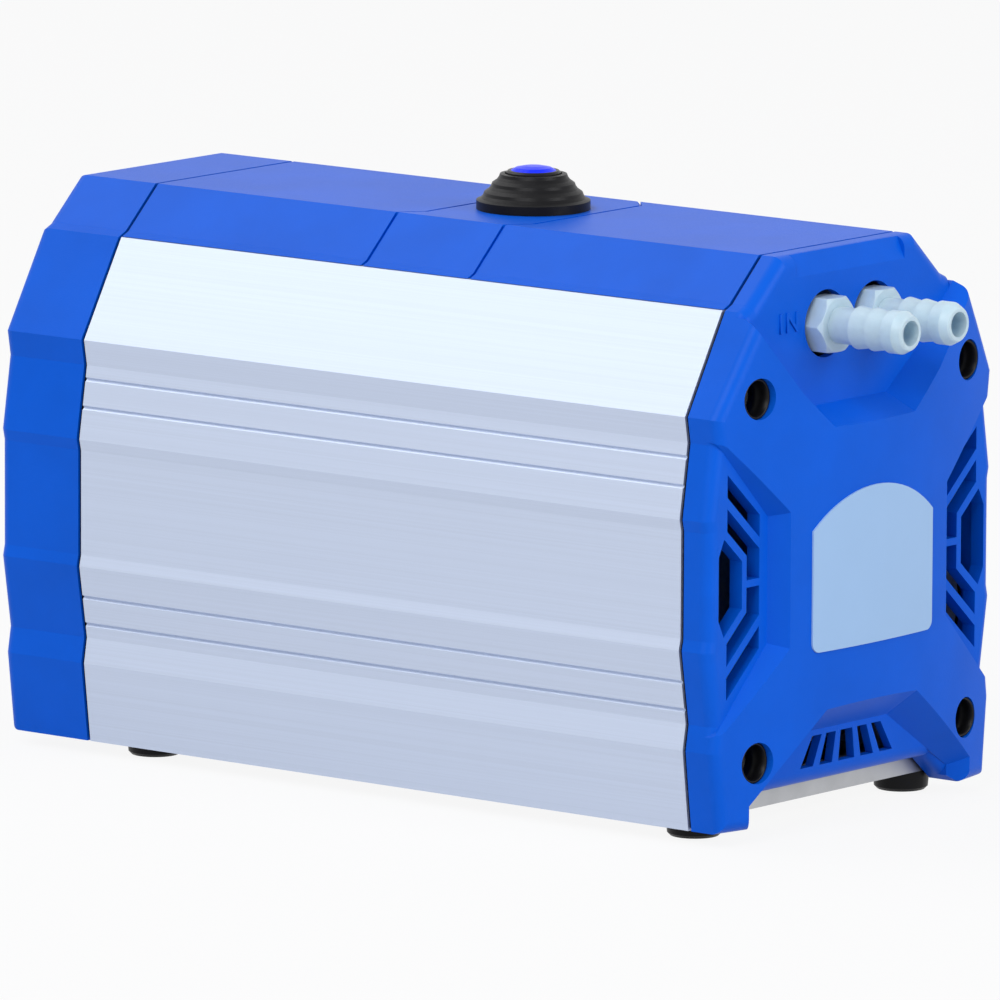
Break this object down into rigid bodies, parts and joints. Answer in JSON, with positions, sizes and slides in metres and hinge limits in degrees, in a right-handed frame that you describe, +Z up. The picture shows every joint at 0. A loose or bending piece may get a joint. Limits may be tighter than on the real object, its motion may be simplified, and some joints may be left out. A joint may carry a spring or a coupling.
{
  "type": "diaphragm vacuum pump",
  "caption": "Bench-top diaphragm vacuum pump: ribbed aluminium housing, deep moulded end covers, rubber feet, round power switch and barbed hose nozzles.",
  "frame": {"origin": "middle of the footprint of the whole pump, on the plane the feet stand on", "axes": "+X towards the hose nozzles, +Z up"},
  "size_m": [0.2656, 0.121, 0.1612],
  "materials": {
    "aluminium_shell": "satin extruded",
    "blue_cover": "fine grained moulded",
    "black_rubber": "matt",
    "black_plastic": "fine grained",
    "blue_lens": "polished, translucent",
    "clear_nozzle": "translucent, natural",
    "zinc_screws": "bright zinc",
    "steel_plate": "galvanised",
    "motor_steel": "stacked laminations",
    "copper_coils": "varnished copper wire",
    "cast_aluminium": "as cast",
    "bearing_steel": "ground",
    "brass_pins": "plated",
    "valve_plastic": "natural",
    "head_plastic": "glass filled"
  },
  "bodies": {
    "housing": {"left_side_panel": "aluminium_shell", "right_side_panel": "aluminium_shell", "base_plate": "steel_plate", "top_cover": "blue_cover", "front_gasket": "black_rubber", "rear_gasket": "black_rubber", "front_cover": "blue_cover", "rear_cover": "blue_cover", "front_cover_screws": "zinc_screws", "rear_cover_screws": "zinc_screws", "foot_rear_left": "black_rubber", "foot_rear_right": "black_rubber", "foot_front_left": "black_rubber", "foot_front_right": "black_rubber", "switch_boot": "black_rubber", "switch_body": "black_plastic", "mains_inlet": "black_plastic", "mains_inlet_pins": "brass_pins", "motor_stator": "motor_steel", "motor_coils": "copper_coils", "rear_bracket": "cast_aluminium", "rear_bearing": "bearing_steel", "front_bearing": "bearing_steel", "crankcase": "cast_aluminium", "motor_bolts": "zinc_screws", "motor_spacers": "zinc_screws", "diaphragm": "black_rubber", "head_plate": "head_plastic", "head_cover": "head_plastic", "head_screws": "zinc_screws", "inlet_nozzle": "clear_nozzle", "outlet_nozzle": "clear_nozzle", "cradle": "steel_plate", "rubber_dampers": "black_rubber"},
    "rotor": {"motor_shaft": "bearing_steel", "rotor_core": "motor_steel", "fan_wheel": "black_plastic", "eccentric": "bearing_steel"},
    "rod": {"connecting_rod": "cast_aluminium", "eccentric_bearing": "bearing_steel", "support_disc": "cast_aluminium", "clamp_disc": "valve_plastic"},
    "power_button": {"switch_cap": "black_plastic", "switch_lens": "blue_lens"},
    "inlet_valve_disc": {"inlet_valve": "black_rubber"},
    "outlet_valve_disc": {"outlet_valve": "black_rubber"}
  },
  "joints": [
    {"name": "motor_spin", "type": "hinge", "parent": "housing", "child": "rotor", "pos_m": [0.056, 0, 0.062], "axis": [1, 0, 0], "continuous": true, "deforming": ["diaphragm"]},
    {"name": "rod_orbit", "type": "hinge", "parent": "rotor", "child": "rod", "pos_m": [0.056, 0, 0.0605], "axis": [1, 0, 0], "continuous": true},
    {"name": "power_button_press", "type": "slide", "parent": "housing", "child": "power_button", "axis": [0, 0, -1], "range_m": [0, 0.002], "stiffness_N_per_m": 400},
    {"name": "inlet_valve_lift", "type": "slide", "parent": "housing", "child": "inlet_valve_disc", "axis": [0, 0, -1], "range_m": [0, 0.0007], "stiffness_N_per_m": 5},
    {"name": "outlet_valve_lift", "type": "slide", "parent": "housing", "child": "outlet_valve_disc", "axis": [0, 0, 1], "range_m": [0, 0.0007], "stiffness_N_per_m": 5}
  ],
  "couplings": [
    {"joint": "rod_orbit", "follows": "motor_spin", "ratio": -1}
  ]
}
